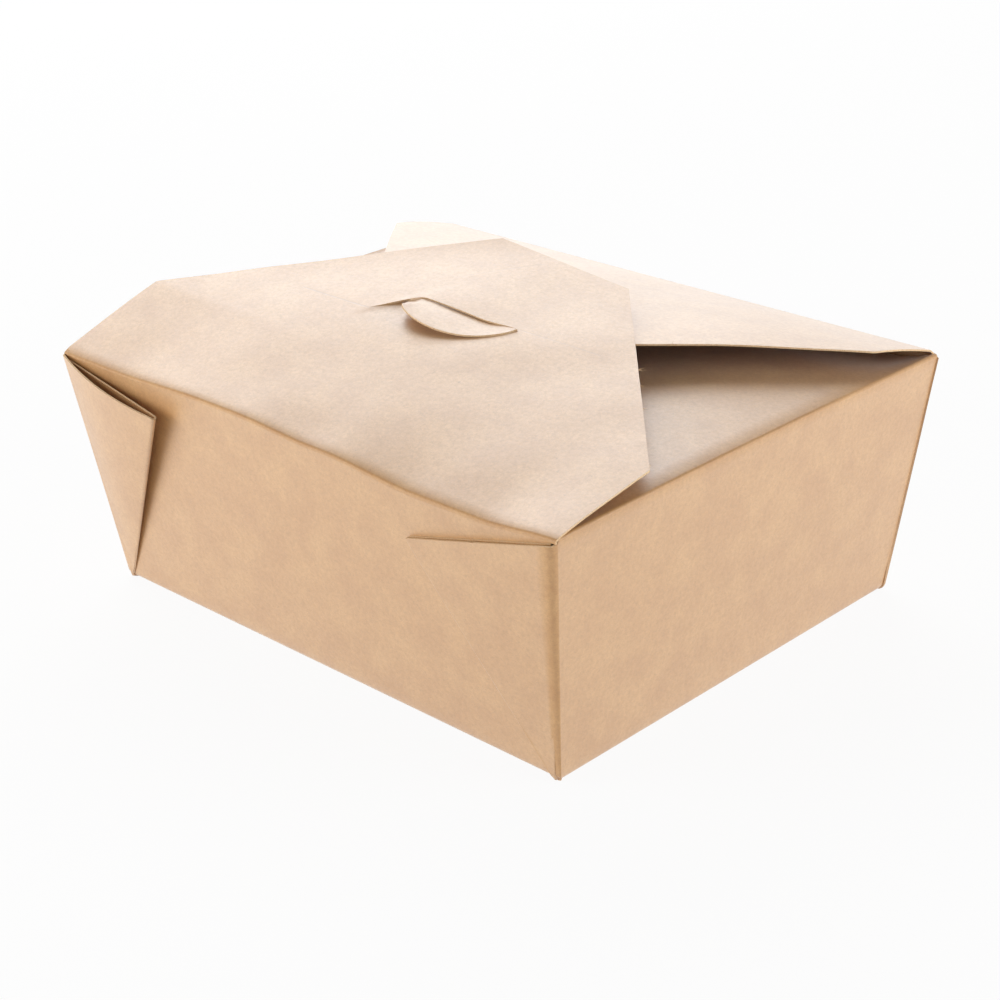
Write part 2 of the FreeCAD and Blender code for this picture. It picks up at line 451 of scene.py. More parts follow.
tray = {
    "cornerRadius": 1.9,
    "wallBulge": 0.8,
    "endBulge": 0.5,
    "bulgePower": 0.8,  # below 1 puts a bulge's crown under mid height
    "bulgeFade": 6,  # higher keeps the unevenness closer to the corners
    "unevenness": 0.12,
    "waveSize": 28.0,
    "endDrop": 0.9,  # the end walls' top folds start this far under the rim
    "endRise": 0.9,  # and arch up a little
    "seamDrop": 1.2,  # the long walls' flaps start this far under the rim
    "frontSag": 2.0,  # the front fold sags between the lock and the near corner
    "sagSpan": (0.15, 0.5, 0.72, 1.0),  # in shares of the half length
    "frontLift": 1.3,  # and arches up left of the lock
    "liftSpan": (-0.75, -0.35, -0.2, 0.1),
    "tufts": [(62.0, -73.2, 4, 1.3, (0, -0.6, 0.8))],  # place, strands, length, way
    "baseRings": (0.0, 0.5, 0.95),
    "bendRows": 4,
    "wallRows": 26,
    "longColumns": 48,
    "endColumns": 36,
}
webLayers = {  # what the four folded webs share
    "outerDrop": 0.4,  # how far under the rim the outer layer ends at the corner
    "innerDrop": 1.6,
    "innerLevel": 0.05,  # the inner layer lies this far off its long wall
    "hairpinInset": 1.6,  # where a web turns back into its long wall
    "hairpinRadius": 0.025,
    "foldStart": 2.0,  # the web's fold starts this far up from the foot
    "footPack": 0.3,  # the layers are pressed flat at the foot
    "stiffReach": 0.5,  # up to here a web doesn't follow the wall's bulge
    "arcSteps": 6,
    "outerColumns": 14,
    "innerColumns": 12,
}
webs = {  # swing and fold angle in degrees, the wear and painted shade as shares, the rest in mm
    "glued": {"swing": 0.0, "angle": 41.7, "edge": 64.0, "gap": 0.15, "foldGap": 0.1, "bow": 0.0,
              "step": 0.0, "rise": 0.0, "cornerWearAndShade": 0.0, "foldWearAndShade": 0.2},
    # the near corner's round is darkened with painted shade as well as worn
    "near": {"swing": 0.0, "angle": 41.7, "edge": 64.0, "gap": 0.45, "foldGap": 0.35, "bow": 0.2,
             "step": 0.5, "rise": 0.0, "cornerWearAndShade": 0.5, "foldWearAndShade": 0.1},
    "loose": {"swing": 6.0, "angle": 35.3, "edge": 69.0, "gap": 0.35, "foldGap": 0.7, "bow": 2.0,
              "step": 0.0, "rise": 0.6, "cornerWearAndShade": 0.0, "foldWearAndShade": 0.0},
}
sideFlap = {
    "depth": 66.0,
    "rootInset": 0.9,
    "rootSlack": 0.01,  # a wall column this far past the root still carries the flap
    "endInset": 6.0,
    "dip": 1.0,
    "bow": 3.0,
    "pressedEnds": 2.6,  # the closing flaps hold its ends down
    "pressedFrom": 0.6,  # share of its half width
    "pressedWithin": 0.12,  # share of its depth
    # the side flap's fold is roughened and darkened with painted shade
    "firstWearAndShade": 0.3,
    "foldWearAndShade": 0.7,
    "foldRows": 6,
    "reachRows": 14,
}


def wallHalf(axis, z):  # distance of a wall's outside from the middle, at one height
    if axis == "x":
        return halfLength - board["lengthTaper"] * (1 - z / rimHeight)
    return halfWidth - board["widthTaper"] * (1 - z / rimHeight)


def frontSagAt(x):
    side = x / halfLength
    return tray["frontSag"] * hump(tray["sagSpan"], side) - tray["frontLift"] * hump(tray["liftSpan"], side)


def longWallTop(x, signY):  # seam between a long wall and its flap's root
    sag = frontSagAt(x) if signY < 0 else 0.0
    z = rimHeight - tray["seamDrop"] - sag
    return Vector((x, signY * wallHalf("y", z), z))


def station(foot, top, outward, bulge=0.0, reach=None):
    drawIn = Vector((-outward.x, -outward.y, 0)).normalized()
    return {"foot": foot, "top": top, "outward": outward, "bulge": bulge, "reach": reach,
            "drawIn": drawIn, "corner": False, "long": False, "wearAndShade": 0.0, "follows": 0}


def webStations(signX, signY, form):  # from the end wall, round the web, to the long wall
    foot = Vector((signX * wallHalf("x", 0), signY * wallHalf("y", 0), 0))
    rim = Vector((signX * halfLength, signY * halfWidth, rimHeight))
    up = (rim - foot).normalized()
    outward = Vector((0, signY * rimHeight, -board["widthTaper"])).normalized()
    inward = (up.cross(outward) * -signX * signY).normalized()
    if inward.x * signX > 0:
        inward.negate()
    radius = tray["cornerRadius"]
    thick = board["thickness"]
    swing = math.radians(form["swing"])
    angle = math.radians(form["angle"])
    low = board["footRadius"]
    outerTop = rimHeight - webLayers["outerDrop"] + form["rise"] - form["step"]
    innerTop = rimHeight - webLayers["innerDrop"] + form["rise"] + 2 * form["step"]
    outerLevel = 2 * thick + form["gap"]
    innerLevel = webLayers["innerLevel"]
    foldStart = webLayers["foldStart"]
    arcSteps = webLayers["arcSteps"]
    made = []

    def place(s, n, t):
        return foot + inward * s + outward * n + up * t

    def add(footSpot, topSpot, facing, bow=0.0):
        s, n, t = footSpot
        packed = n - (outerLevel - webLayers["footPack"]) * min(1.0, n / outerLevel)
        one = station(place(s, packed, t), place(*topSpot), facing, bow)
        one["corner"] = True
        one["follows"] = signY if form["swing"] == 0 and s > webLayers["stiffReach"] else 0
        made.append(one)

    arcEnd = math.pi / 2 - swing
    for step in range(arcSteps + 1):
        turn = arcEnd * step / arcSteps
        s = radius * (1 - math.cos(turn))
        n = outerLevel - radius + radius * math.sin(turn)
        facing = (-inward * math.cos(turn) + outward * math.sin(turn)).normalized()
        top = rimHeight - webLayers["outerDrop"] + form["rise"] - form["step"] * step / arcSteps
        add((s, n, low), (s, n, top), facing)
        # the corner's round gets its share of wear and painted shade
        made[-1]["wearAndShade"] = form["cornerWearAndShade"]
    startS, startN = s, n
    alongS, alongN = math.cos(swing), math.sin(swing)
    outS, outN = -math.sin(swing), math.cos(swing)
    foldRadius = thick + form["foldGap"] / 2
    foldWay = (math.sin(angle), math.cos(angle))
    across = (math.cos(angle), -math.sin(angle))
    webFacing = (outward * outN + inward * outS).normalized()

    def foldSpot(distance, turn):  # a point of the round fold, at a distance from the foot
        a = distance * foldWay[0] + across[0] * foldRadius * math.cos(turn) - foldRadius
        t = distance * foldWay[1] + across[1] * foldRadius * math.cos(turn)
        depth = foldRadius * (math.sin(turn) - 1)
        return (startS + alongS * a + outS * depth, startN + alongN * a + outN * depth, t)

    first = Vector((startS, startN, outerTop))
    last = Vector(foldSpot(form["edge"], math.pi / 2))
    lowFirst = Vector((startS, startN, low))
    lowLast = Vector(foldSpot(foldStart, math.pi / 2))
    for share in spread(0.0, 1.0, webLayers["outerColumns"])[1:-1]:
        bow = form["bow"] * 4 * share * (1 - share)
        add(lowFirst.lerp(lowLast, share), first.lerp(last, share), webFacing, bow)
    for step in range(arcSteps + 1):
        turn = math.pi / 2 - math.pi * step / arcSteps
        facing = (inward * (alongS * math.cos(turn) + outS * math.sin(turn))
                  + outward * (alongN * math.cos(turn) + outN * math.sin(turn))).normalized()
        add(foldSpot(foldStart, turn), foldSpot(form["edge"], turn), facing)
        made[-1]["wearAndShade"] = form["foldWearAndShade"]
    first = Vector(foldSpot(form["edge"], -math.pi / 2))
    last = Vector((webLayers["hairpinInset"], innerLevel, innerTop))
    lowFirst = Vector(foldSpot(foldStart, -math.pi / 2))
    lowLast = Vector((webLayers["hairpinInset"], innerLevel, low))
    for share in spread(0.0, 1.0, webLayers["innerColumns"])[1:]:
        add(lowFirst.lerp(lowLast, share), first.lerp(last, share), -webFacing)
    turnS = webLayers["hairpinInset"] - webLayers["hairpinRadius"]
    add((turnS, innerLevel / 2, low), (turnS, innerLevel / 2, innerTop), inward)
    return made


def endStations(signX, first, last):  # first and last are the neighbouring corner stations
    made = []
    rootHalf = halfWidth - sideFlap["rootInset"]
    between = (rootHalf + abs(first["top"].y)) / 2
    ys = [-between] + spread(-rootHalf, rootHalf, tray["endColumns"]) + [between]
    if signX < 0:
        ys.reverse()
    for y in ys:
        share = (y - first["top"].y) / (last["top"].y - first["top"].y)
        foot = first["foot"].lerp(last["foot"], share)
        top = first["top"].lerp(last["top"], share)
        rise = tray["endRise"] * max(0.0, 1 - (y / halfWidth) ** 2) if signX > 0 else 0.0
        top.z = rimHeight - tray["endDrop"] + rise
        top.x = signX * wallHalf("x", top.z)
        outward = Vector((signX * rimHeight, 0, -board["lengthTaper"])).normalized()
        bulge = tray["endBulge"] * (1 - (y / halfWidth) ** 2)
        reach = y if abs(y) <= rootHalf + sideFlap["rootSlack"] else None
        made.append(station(foot, top, outward, bulge, reach))
    return made


def longStations(signY, first, last):
    made = []
    for share in spread(0.0, 1.0, tray["longColumns"]):
        foot = first["foot"].lerp(last["foot"], share)
        x = first["top"].x + (last["top"].x - first["top"].x) * share
        foot.y = signY * wallHalf("y", foot.z)
        outward = Vector((0, signY * rimHeight, -board["widthTaper"])).normalized()
        one = station(foot, longWallTop(x, signY), outward)
        one["long"] = True
        made.append(one)
    return made


def bulgeShape(share):  # 0 at foot and rim, 1 in between
    return math.sin(math.pi * share ** tray["bulgePower"])


def wallBulge(point):  # how far a long wall stands out of its plane
    up = max(0.0, min(1.0, point.z / (rimHeight - tray["seamDrop"])))
    side = max(0.0, 1 - (point.x / wallHalf("x", point.z)) ** 2)
    uneven = tray["unevenness"] * waviness(Vector((point.x, 0, point.z)), tray["waveSize"])
    plain = tray["wallBulge"] * side * bulgeShape(up)
    return plain + uneven * min(1.0, tray["bulgeFade"] * side) * math.sin(math.pi * up)


def wallPoint(one, share):
    point = one["foot"].lerp(one["top"], share)
    if one["corner"]:
        lift = one["bulge"] * smoothStep(0.0, 1.0, share)
        if one["follows"]:
            point.y += one["follows"] * wallBulge(point)
    elif one["long"]:
        lift = wallBulge(point)
    else:
        uneven = tray["unevenness"] * waviness(point, tray["waveSize"])
        lift = one["bulge"] * bulgeShape(share) + uneven * math.sin(math.pi * share)
    return point + one["outward"] * lift


def trayRing():
    forms = {(-1, -1): webs["loose"], (1, -1): webs["near"]}
    corners = {}
    for x, y in ((-1, -1), (-1, 1), (1, -1), (1, 1)):
        corners[(x, y)] = webStations(x, y, forms.get((x, y), webs["glued"]))
    ring = longStations(-1, corners[(-1, -1)][-1], corners[(1, -1)][-1])
    ring += list(reversed(corners[(1, -1)]))
    ring += endStations(1, corners[(1, -1)][0], corners[(1, 1)][0])
    ring += corners[(1, 1)]
    ring += longStations(1, corners[(1, 1)][-1], corners[(-1, 1)][-1])
    ring += list(reversed(corners[(-1, 1)]))
    ring += endStations(-1, corners[(-1, 1)][0], corners[(-1, -1)][0])
    ring += corners[(-1, -1)]
    return ring


def footPoint(one, turn):  # the round bend between a wall and the base
    radius = board["footRadius"]
    drop = radius * math.cos(turn)
    slope = (one["top"] - one["foot"]).normalized()
    point = one["foot"] - slope * (drop / slope.z) + one["drawIn"] * radius * (1 - math.sin(turn))
    point.z = radius * (1 - math.cos(turn))
    if not one["corner"]:
        return point
    signX = math.copysign(1, one["foot"].x)
    signY = math.copysign(1, one["foot"].y)
    meet = Vector((signX * (wallHalf("x", 0) - radius), signY * (wallHalf("y", 0) - radius), 0))
    return meet.lerp(point, math.sin(turn))


def sideFlapPoint(one, step):
    sign = math.copysign(1, one["top"].x)
    lean = math.atan2(board["lengthTaper"], rimHeight)
    dip = math.radians(sideFlap["dip"])
    radius = board["foldRadius"]
    centre = one["top"] - Vector((sign * math.cos(lean), 0, -math.sin(lean))) * radius
    turn = -lean + (math.pi / 2 + lean + dip) * min(1.0, step / sideFlap["foldRows"])
    point = centre + Vector((sign * math.cos(turn), 0, math.sin(turn))) * radius
    share = (step - sideFlap["foldRows"]) / sideFlap["reachRows"]
    if share > 0:
        endHalf = halfWidth - sideFlap["endInset"]
        rootHalf = halfWidth - sideFlap["rootInset"]
        point += Vector((-sign * math.cos(dip), 0, -math.sin(dip))) * (sideFlap["depth"] * share)
        point.y = one["reach"] * (1 + (endHalf / rootHalf - 1) * share)
        side = abs(one["reach"]) / rootHalf
        pressed = smoothStep(sideFlap["pressedFrom"], 1.0, side)
        point.z += sideFlap["bow"] * math.sin(math.pi * share) * (1 - side * side) ** 2
        point.z -= sideFlap["pressedEnds"] * pressed * smoothStep(0.0, sideFlap["pressedWithin"], share)
    return point


def makeTray():
    ring = trayRing()
    bends = tray["bendRows"]
    walls = tray["wallRows"]
    base = [footPoint(one, 0.0) for one in ring]
    rows = [[Vector((point.x * share, point.y * share, 0)) for point in base] for share in tray["baseRings"]]
    rows += [[footPoint(one, math.pi / 2 * step / bends) for one in ring] for step in range(bends)]
    wearAndShadeFrom = len(rows) - bends // 2  # halfway up the foot's bend
    rows += [[wallPoint(one, step / walls) for one in ring] for step in range(walls + 1)]
    wallsEnd = len(rows) - 1
    for step in range(1, sideFlap["foldRows"] + sideFlap["reachRows"] + 1):
        rows.append([sideFlapPoint(one, step) if one["reach"] is not None else rows[wallsEnd][index]
                     for index, one in enumerate(ring)])

    def present(j, k):
        if j < wallsEnd:
            return True
        return ring[k]["reach"] is not None and ring[(k + 1) % len(ring)]["reach"] is not None

    # the folds' wear and painted shade, per row and column
    def wearAndShade(j, k):
        if ring[k]["reach"] is not None and wallsEnd <= j <= wallsEnd + sideFlap["foldRows"]:
            return sideFlap["firstWearAndShade"] if j == wallsEnd else sideFlap["foldWearAndShade"]
        return ring[k]["wearAndShade"] if wearAndShadeFrom <= j <= wallsEnd else 0.0

    def goesOn(j, k):  # the long walls' tops, where the flaps carry the sheet on
        return ring[k]["long"]

    piece = makeBoard("trayBoard", rows, [faceFinish, edgeFinish], present, True, wearAndShade, goesOn,
                      tray["tufts"])
    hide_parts("tray")
    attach(piece, "tray")
    return piece


makeTray()
print("tray made")


# Front flap

frontFlap = {
    "rootInset": 0.15,
    "wideInset": 0.7,
    "wideDepth": 31.0,
    "tipHalf": 22.0,
    "depth": 98.5,
    "slope": 0.306,
    "bowRadius": 374.0,
    "twist": 0.00105,
    "sagFade": 24.0,  # how far up the flap the fold's sag reaches
    "leftDroop": 2.6,  # the left edge hangs lower than the bow
    "slitLeft": (-22.9, 47.9),  # along the box, and from the hinge
    "slitTurn": (-13.0, 61.0),  # where the cut straightens out
    "slitRight": (17.6, 62.4),
    "slitLead": 3.2,  # the turn starts this far before the left end
    "slitLevelTo": 6.0,  # right of this the cut runs on to its right end
    "farLipRise": 0.25,
    "nearLipDrop": 1.6,
    "lipReach": 9.0,
    "gapeSpan": (0.0, 0.3, 0.45, 1.0),  # in shares of the slit's length
    "leftScore": (-47.0, 49.6),  # pressed lines run on from the slit's ends to here
    "rightScore": (42.0, 64.7),
    "bentMark": ((-15.8, 74.4), (-3.2, 94.2)),  # a light crease left of the tongue
    "scoreTones": (0.6, 0.4, 0.3),
    "unevenness": 0.35,
    "waveSize": 24.0,
    "waveSeed": 3.0,
    "waveFrom": 12.0,  # the hinge holds the sheet level up to about here
    "slitRow": 57.0,  # the mesh row that is pulled onto the slit's line
    "slitRounds": 12,  # the search for where a column crosses the slit has settled by then
    "besideSlit": (0.7, 1.5),  # mesh rows this far from the slit's own
    "pullEnd": 84.0,
    "rowsTo": (20, 18, 30),  # mesh rows up to the widest line, the slit and the tip
    "columnsTo": (30, 40, 30),  # and columns up to the slit's ends and the right edge
    "tufts": [(59.5, -13.0, 3, 1.4, (0.9, 0.3, -0.2)), (53.5, -6.5, 3, 1.6, (0.9, 0.3, 0.1)),
              (66.0, -20.0, 2, 1.2, (0.9, 0.3, 0.0)), (84.0, -39.8, 2, 0.9, (0.9, 0.0, 0.2))],
}


def slitDepthAt(x):
    leftX, leftDepth = frontFlap["slitLeft"]
    turnX, turnDepth = frontFlap["slitTurn"]
    rightX, rightDepth = frontFlap["slitRight"]
    turned = smoothStep(leftX - frontFlap["slitLead"], turnX, x)
    risen = smoothStep(frontFlap["slitLevelTo"], rightX, x)
    return leftDepth + (turnDepth - leftDepth) * turned + (rightDepth - turnDepth) * risen


def slitOpening(x):  # 0 at both ends of the slit, 1 where it gapes most
    leftX, rightX = frontFlap["slitLeft"][0], frontFlap["slitRight"][0]
    share = max(0.0, min(1.0, (x - leftX) / (rightX - leftX)))
    return hump(frontFlap["gapeSpan"], share)


def frontSkin(x, depth):  # height of the outer face over the rim, without the slit
    plain = frontFlap["slope"] * depth - depth ** 2 / (2 * frontFlap["bowRadius"])
    sag = frontSagAt(x) * math.exp(-depth / frontFlap["sagFade"])
    return plain - frontFlap["twist"] * x * depth - sag


def beyondWide(depth):  # 0 up to the flap's widest line, 1 at its tip
    return max(0.0, (depth - frontFlap["wideDepth"]) / (frontFlap["depth"] - frontFlap["wideDepth"]))


def frontHalfAt(depth):
    rootHalf = halfLength - frontFlap["rootInset"]
    wideHalf = halfLength - frontFlap["wideInset"]
    if depth <= frontFlap["wideDepth"]:
        return rootHalf + (wideHalf - rootHalf) * depth / frontFlap["wideDepth"]
    return wideHalf + (frontFlap["tipHalf"] - wideHalf) * beyondWide(depth)


def rootRows(signY, halfSpan, skinAt, columns):  # wall strip and round fold under a closing flap
    lean = math.atan2(board["widthTaper"], rimHeight)
    wallNormal = Vector((0, signY * math.cos(lean), -math.sin(lean)))
    wallUp = Vector((0, signY * math.sin(lean), math.cos(lean)))
    radius = board["foldRadius"]
    rows = [[longWallTop(u * halfSpan, signY) for u in columns]]
    for share in spread(0.0, 1.0, board["foldRows"] - 1):
        row = []
        for u in columns:
            x = u * halfSpan
            pitch = math.atan(skinAt(x, 2.0) - skinAt(x, 1.0))
            centre = longWallTop(x, signY) + wallUp * board["foldStrip"] - wallNormal * radius
            turn = -lean + (math.pi / 2 + lean - pitch) * share
            row.append(centre + Vector((0, signY * math.cos(turn), math.sin(turn))) * radius)
        rows.append(row)
    return rows


def rootWearAndShade(j, k):  # the crease of a closing flap, worn and darkened with painted shade
    return board["foldWearAndShade"][j] if j < len(board["foldWearAndShade"]) else 0.0


def rootGoesOn(j, k):
    return j == 0


def slitReach(u, start):  # where the slit's line crosses one column of the flap
    reach = start
    for _ in range(frontFlap["slitRounds"]):
        reach = slitDepthAt(u * frontHalfAt(reach))
    return reach


def makeFrontFlap():
    leftX, rightX = frontFlap["slitLeft"][0], frontFlap["slitRight"][0]
    leftDepth, rightDepth = slitDepthAt(leftX), slitDepthAt(rightX)
    leftShare = leftX / frontHalfAt(leftDepth)
    rightShare = rightX / frontHalfAt(rightDepth)
    toLeft, toRight, toEdge = frontFlap["columnsTo"]
    columns = spread(-1.0, leftShare, toLeft)[:-1] + spread(leftShare, rightShare, toRight)[:-1]
    columns += spread(rightShare, 1.0, toEdge)[:-1] + [1.0]
    slitRow = frontFlap["slitRow"]
    wide = frontFlap["wideDepth"]
    beside, further = frontFlap["besideSlit"]
    toWide, toSlit, toTip = frontFlap["rowsTo"]
    rowDepths = spread(board["firstRow"], wide, toWide) + spread(wide, slitRow - further, toSlit)[1:]
    rowDepths += [slitRow - beside, slitRow, slitRow, slitRow + beside]
    rowDepths += spread(slitRow + further, frontFlap["depth"], toTip)
    near = rowDepths.index(slitRow)
    rows = rootRows(-1, halfLength - frontFlap["rootInset"], frontSkin, columns)
    rootCount = len(rows)
    for number, depth in enumerate(rowDepths):
        pull = smoothStep(wide, slitRow, depth) * (1 - smoothStep(slitRow, frontFlap["pullEnd"], depth))
        away = abs(depth - slitRow) / frontFlap["lipReach"]
        lip = frontFlap["farLipRise"] if number > near else -frontFlap["nearLipDrop"]
        lip *= math.exp(-away * away)
        row = []
        for u in columns:
            slitShare = max(leftShare, min(rightShare, u))
            cut = slitReach(slitShare, slitRow)
            reach = depth + (cut - slitRow) * pull
            x = u * frontHalfAt(reach)
            wave = waviness(Vector((x, reach, 0)), frontFlap["waveSize"], frontFlap["waveSeed"])
            z = frontSkin(x, reach) + lip * slitOpening(slitShare * frontHalfAt(cut))
            z += frontFlap["unevenness"] * wave * smoothStep(board["firstRow"], frontFlap["waveFrom"], reach)
            z -= frontFlap["leftDroop"] * math.sin(math.pi * beyondWide(reach)) * smoothStep(0.0, 1.1, -u)
            row.append(Vector((x, reach - halfWidth, rimHeight + z)))
        rows.append(row)

    def present(j, k):
        if j - rootCount != near:
            return True
        return not leftShare < (columns[k] + columns[k + 1]) / 2 < rightShare

    lines = [(frontFlap["leftScore"], (leftX, leftDepth)), ((rightX, rightDepth), frontFlap["rightScore"]),
             frontFlap["bentMark"]]
    scores = []
    for (fromX, fromDepth), (toX, toDepth) in lines:
        strength = frontFlap["scoreTones"][len(scores)]
        scores.append(((fromX, fromDepth - halfWidth), (toX, toDepth - halfWidth), strength))
    finish = kraftFace("kraftFaceWithScoreLines", scores)
    piece = makeBoard("frontFlapBoard", rows, [finish, edgeFinish], present, False, rootWearAndShade, rootGoesOn,
                      frontFlap["tufts"])
    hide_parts("front_flap")
    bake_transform(piece)
    return piece


makeFrontFlap()
print("front flap made")


# Back flap

backFlap = {
    "rootInset": 1.3,
    "wideInset": 3.5,
    "leftSkew": 3.4,  # its left edge lies further out
    "wideDepth": 24.0,
    "shoulderHalf": 39.0,
    "shoulderDepth": 73.0,
    "shoulderDrop": 1.3,
    "slope": 0.32,
    "bowRadius": 250.0,
    "neckLeft": -14.0,  # where the tongue's sides pass through the slit
    "neckRight": 17.2,
    "neckUnder": -0.45,  # the neck passes under the far lip
    "neckOver": 0.4,  # but this much higher near the tongue's right tip
    "overSpan": (8.0, 17.0),
    "tongueMiddle": (1.5, 59.8),  # along the box, and from the front hinge
    "tongueHalf": (15.9, 1.8),
    "tongueReach": (-2.0, -11.0),
    "leftLift": 2.9,
    "rightLift": 0.5,
    "endLift": 0.8,  # the tongue's left end lies closer
    "endSpan": (-1.0, -0.75),
    "unevenness": 0.25,
    "waveSize": 26.0,
    "waveSeed": 9.0,
    "waveFrom": 14.0,
    "columns": 72,
    "rowsTo": (14, 30),  # mesh rows up to the widest line and the shoulders
    "neckRows": 14,
    "tongueRows": 16,
    "tufts": [(-10.5, -19.5, 5, 1.5, (-0.2, -0.5, -0.3)), (17.3, -10.4, 4, 0.9, (0.6, -0.1, 0.2)),
              (54.0, 15.5, 3, 1.2, (0.7, -0.5, -0.3)), (50.0, 11.0, 3, 1.0, (0.7, -0.5, -0.2))],
}


def backSkin(x, depth):
    plain = backFlap["slope"] * depth - depth ** 2 / (2 * backFlap["bowRadius"]) + board["thickness"]
    side = (x / backFlap["shoulderHalf"]) ** 2 * (depth / backFlap["shoulderDepth"]) ** 2
    return plain - backFlap["shoulderDrop"] * min(1.5, side)


def backHalfAt(depth):
    corners = [(0.0, halfLength - backFlap["rootInset"]),
               (backFlap["wideDepth"], halfLength - backFlap["wideInset"]),
               (backFlap["shoulderDepth"], backFlap["shoulderHalf"])]
    for (low, first), (high, second) in zip(corners, corners[1:]):
        if depth <= high:
            return first + (second - first) * (depth - low) / (high - low)
    return backFlap["shoulderHalf"]


def tongueRim(bend):  # from -1 at the tongue's left end to 1 at its right tip
    middle, half, reach = (Vector(backFlap[key]) for key in ("tongueMiddle", "tongueHalf", "tongueReach"))
    spot = middle + half * bend + reach * math.sqrt(max(0.0, 1 - bend * bend))
    left, right, end = backFlap["leftLift"], backFlap["rightLift"], backFlap["endLift"]
    lift = right + (left - right) * (1 - smoothStep(-0.8, 0.8, bend))
    lift = end + (lift - end) * smoothStep(*backFlap["endSpan"], bend)
    return Vector((spot.x, spot.y - halfWidth, rimHeight + frontSkin(spot.x, spot.y) + lift))


def neckPoint(bend):  # where it passes the slit: under the far lip, but over it near its right tip
    left, right = backFlap["neckLeft"], backFlap["neckRight"]
    x = left + (right - left) * (bend + 1) / 2
    depth = slitDepthAt(x)
    over = backFlap["neckUnder"] + backFlap["neckOver"] * smoothStep(*backFlap["overSpan"], x)
    return Vector((x, depth - halfWidth, rimHeight + frontSkin(x, depth) + over))


def makeBackFlap():
    columns = spread(-1.0, 1.0, backFlap["columns"])
    wide = backFlap["wideDepth"]
    toWide, toShoulder = backFlap["rowsTo"]
    rows = rootRows(1, halfLength - backFlap["rootInset"], backSkin, columns)
    depths = spread(board["firstRow"], wide, toWide)
    depths += spread(wide, backFlap["shoulderDepth"], toShoulder)[1:]
    for depth in depths:
        row = []
        for u in columns:
            x = u * backHalfAt(depth)
            x -= backFlap["leftSkew"] * smoothStep(0.0, 1.0, -u) * smoothStep(board["firstRow"], wide, depth)
            wave = waviness(Vector((x, depth, 0)), backFlap["waveSize"], backFlap["waveSeed"])
            z = backSkin(x, depth)
            z += backFlap["unevenness"] * wave * smoothStep(board["firstRow"], backFlap["waveFrom"], depth)
            row.append(Vector((x, halfWidth - depth, rimHeight + z)))
        rows.append(row)
    shoulders = rows[-1]
    slopes = [after - before for before, after in zip(rows[-2], shoulders)]
    necks = [neckPoint(math.sin(u * math.pi / 2)) for u in columns]
    rims = [tongueRim(math.sin(u * math.pi / 2)) for u in columns]
    for share in spread(0.0, 1.0, backFlap["neckRows"])[1:]:  # from the shoulders to the slit
        row = []
        for shoulder, slope, neck in zip(shoulders, slopes, necks):
            beneath = shoulder + slope * 3 * share
            row.append(beneath.lerp(neck, smoothStep(0.0, 1.0, share)))
        rows.append(row)
    for share in spread(0.0, 1.0, backFlap["tongueRows"])[1:]:  # from the slit to the tongue's rim
        rows.append([neck.lerp(rim, share) for neck, rim in zip(necks, rims)])
    rows = [list(reversed(row)) for row in rows]
    piece = makeBoard("backFlapBoard", rows, [faceFinish, edgeFinish], None, False, rootWearAndShade, rootGoesOn,
                      backFlap["tufts"])
    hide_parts("back_flap")
    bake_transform(piece)
    return piece


makeBackFlap()
print("back flap made")


# Floor, light and camera

studio = {
    "floorColour": "#f2f2f2",
    "floorSize": 60.0,  # m
    "floorDrop": 0.0002,  # m, keeps it clear of the board's underside
    "floorShadow": 0.08,  # how much of the floor's own shading shows on its white
    "floorGlow": 0.35,  # how much of the white sweep's light the board gets back
    "roomBehind": 1.36,  # white sweep behind the box
    "roomInFront": 0.63,  # darker side where the camera stands
    "ceilingDim": 0.95,  # share of the room's light missing straight above
    "aim": (0, 0, 0.03),  # m, as the lights' sizes and places are
    "backLight": {"size": (1.3, 0.9), "place": (-0.88, 0.56, 0.8), "power": 9.2},
    "sweepGlow": {"size": (1.2, 0.45), "place": (-0.6, 1.15, 0.2), "power": 0.8},
    "leftLight": {"size": (0.5, 0.4), "place": (-0.36, -0.56, 0.2), "power": 2.6},
    "rightLight": {"size": (0.5, 0.4), "place": (0.62, 0.3, 0.2), "power": 2.5},
}
lens = {
    "focal": 74.51,
    "sensor": 36.0,
    "azimuth": 44.12,
    "elevation": 24.56,
    "distance": 555.7,
    "roll": -1.326,
    "shiftRight": -0.2,
    "shiftUp": 21.8,
    "seesTo": 100.0,  # m
}


def makeFloor():  # seamless paper sweep, lit to white: it shows only the box's soft shadow
    material, tree = newFinish("whiteSweep")
    rays = addNode(tree, "ShaderNodeLightPath").outputs
    mirrored = addNode(tree, "ShaderNodeMath", {
        "operation": "MAXIMUM",
        0: rays["Is Glossy Ray"],
        1: rays["Is Transmission Ray"],
    })
    seen = addNode(tree, "ShaderNodeMath", {
        "operation": "MAXIMUM",
        0: rays["Is Camera Ray"],
        1: mirrored.outputs[0],
    })
    amount = addNode(tree, "ShaderNodeMath", {
        "operation": "MULTIPLY_ADD",
        0: seen.outputs[0],
        1: 1 - studio["floorShadow"] - studio["floorGlow"],
        2: studio["floorGlow"],
    })
    plain = addNode(tree, "ShaderNodeBsdfDiffuse", {"Color": linear(studio["floorColour"])})
    white = addNode(tree, "ShaderNodeEmission", {"Color": (1, 1, 1, 1), "Strength": 1.0})
    mixed = addNode(tree, "ShaderNodeMixShader", {
        0: amount.outputs[0],
        1: plain.outputs[0],
        2: white.outputs[0],
    })
    addNode(tree, "ShaderNodeOutputMaterial", {"Surface": mixed.outputs[0]})
    bpy.ops.mesh.primitive_plane_add(size=studio["floorSize"])
    floor = bpy.context.active_object
    floor.name = "whiteFloor"
    floor.location.z = -studio["floorDrop"]
    floor.data.materials.append(material)


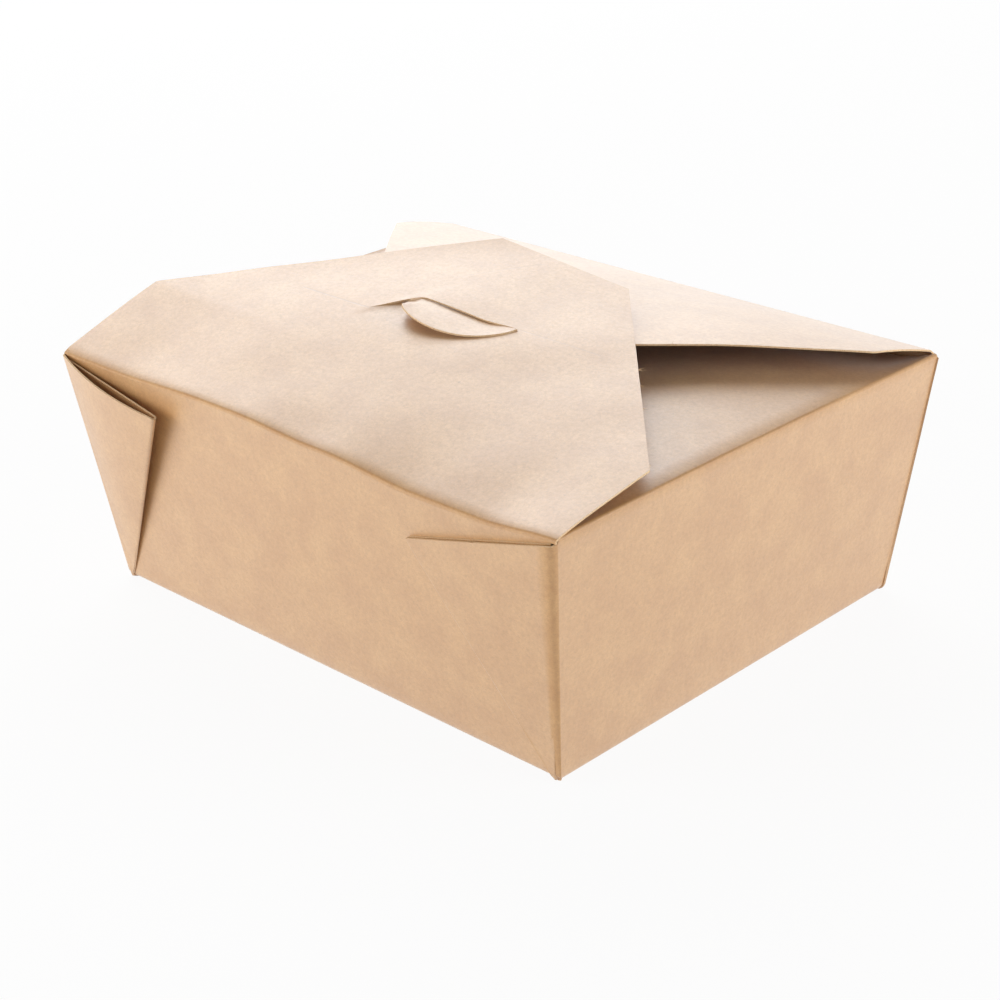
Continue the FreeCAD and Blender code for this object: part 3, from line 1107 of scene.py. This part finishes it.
def makeWorld():
    world = bpy.data.worlds.new("whiteRoom")
    bpy.context.scene.world = world
    world.use_nodes = True
    tree = world.node_tree
    tree.nodes.clear()
    azimuth = math.radians(lens["azimuth"])
    toFront = (math.sin(azimuth), -math.cos(azimuth), 0.0)
    direction = addNode(tree, "ShaderNodeTexCoord").outputs["Generated"]
    facing = addNode(tree, "ShaderNodeVectorMath", {"operation": "DOT_PRODUCT", 0: direction, 1: toFront})
    height = addNode(tree, "ShaderNodeSeparateXYZ", {0: direction})
    around = addNode(tree, "ShaderNodeMapRange", {
        "Value": facing.outputs["Value"],
        "From Min": -1.0,
        "From Max": 1.0,
        "To Min": studio["roomBehind"],
        "To Max": studio["roomInFront"],
    })
    above = addNode(tree, "ShaderNodeMapRange", {
        "Value": height.outputs["Z"],
        "To Min": 1.0,
        "To Max": 1 - studio["ceilingDim"],
    })
    strength = addNode(tree, "ShaderNodeMath", {
        "operation": "MULTIPLY",
        0: around.outputs["Result"],
        1: above.outputs["Result"],
    })
    shader = addNode(tree, "ShaderNodeBackground", {"Color": (1, 1, 1, 1), "Strength": strength.outputs[0]})
    addNode(tree, "ShaderNodeOutputWorld", {"Surface": shader.outputs[0]})


def makeLight(name, setting):
    light = bpy.data.lights.new(name, "AREA")
    light.shape = "RECTANGLE"
    light.size, light.size_y = setting["size"]
    light.energy = setting["power"]
    lamp = bpy.data.objects.new(name, light)
    bpy.context.scene.collection.objects.link(lamp)
    lamp.location = setting["place"]
    lamp.rotation_euler = (Vector(studio["aim"]) - lamp.location).to_track_quat("-Z", "Y").to_euler()


def makeCamera():
    azimuth = math.radians(lens["azimuth"])
    elevation = math.radians(lens["elevation"])
    back = Vector((math.sin(azimuth) * math.cos(elevation), -math.cos(azimuth) * math.cos(elevation),
                   math.sin(elevation)))
    level = (-back).cross(Vector((0, 0, 1))).normalized()
    upright = level.cross(-back)
    roll = math.radians(lens["roll"])
    right = level * math.cos(roll) + upright * math.sin(roll)
    up = upright * math.cos(roll) - level * math.sin(roll)
    data = bpy.data.cameras.new("photoCamera")
    data.lens = lens["focal"]
    data.sensor_width = lens["sensor"]
    data.clip_end = lens["seesTo"]
    camera = bpy.data.objects.new("photoCamera", data)
    bpy.context.scene.collection.objects.link(camera)
    place = (back * lens["distance"] + right * lens["shiftRight"] + up * lens["shiftUp"]) * mm
    camera.matrix_world = Matrix.Translation(place) @ Matrix((right, up, back)).transposed().to_4x4()
    bpy.context.scene.camera = camera


makeFloor()
makeWorld()
for lightName in ("backLight", "sweepGlow", "leftLight", "rightLight"):
    makeLight(lightName, studio[lightName])
makeCamera()
bpy.context.scene.view_settings.view_transform = "Standard"
print("floor, light and camera made")
